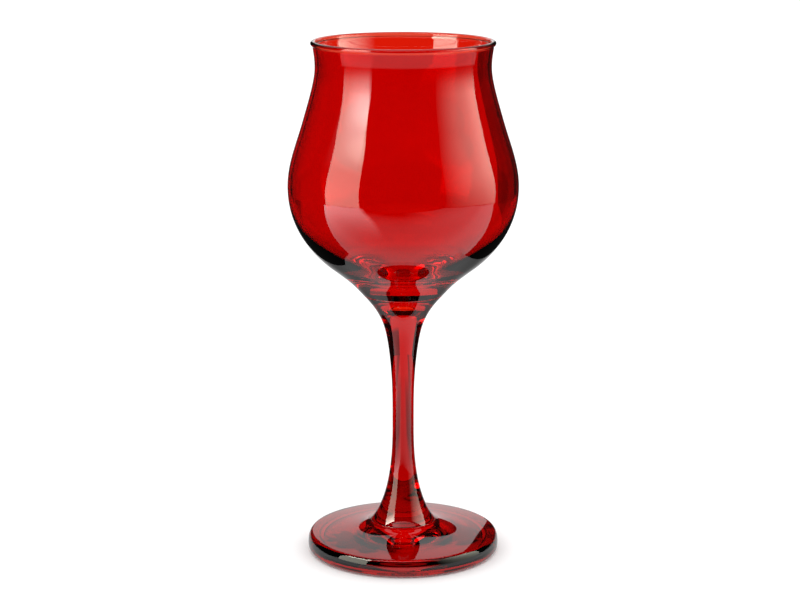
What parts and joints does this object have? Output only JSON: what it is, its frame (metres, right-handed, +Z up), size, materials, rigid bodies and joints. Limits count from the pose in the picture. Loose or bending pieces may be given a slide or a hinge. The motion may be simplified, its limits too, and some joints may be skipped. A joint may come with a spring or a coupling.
{
  "type": "wine glass",
  "caption": "Stemmed wine glass in red glass, with a tulip-shaped bowl, a beaded lip, a slender stem and a round foot.",
  "frame": {"origin": "centre of the foot's rest ring, in the plane that the glass stands on", "axes": "+Z up along the glass's axis, towards the lip; X and Y are alike, because the glass is round"},
  "size_m": [0.0868, 0.0868, 0.1965],
  "materials": {
    "red_glass": "clear soda-lime glass with a transparent red coat on its outer surface, glossy"
  },
  "bodies": {
    "root": {"bowl": "red_glass", "stem": "red_glass", "foot": "red_glass"}
  },
  "joints": []
}
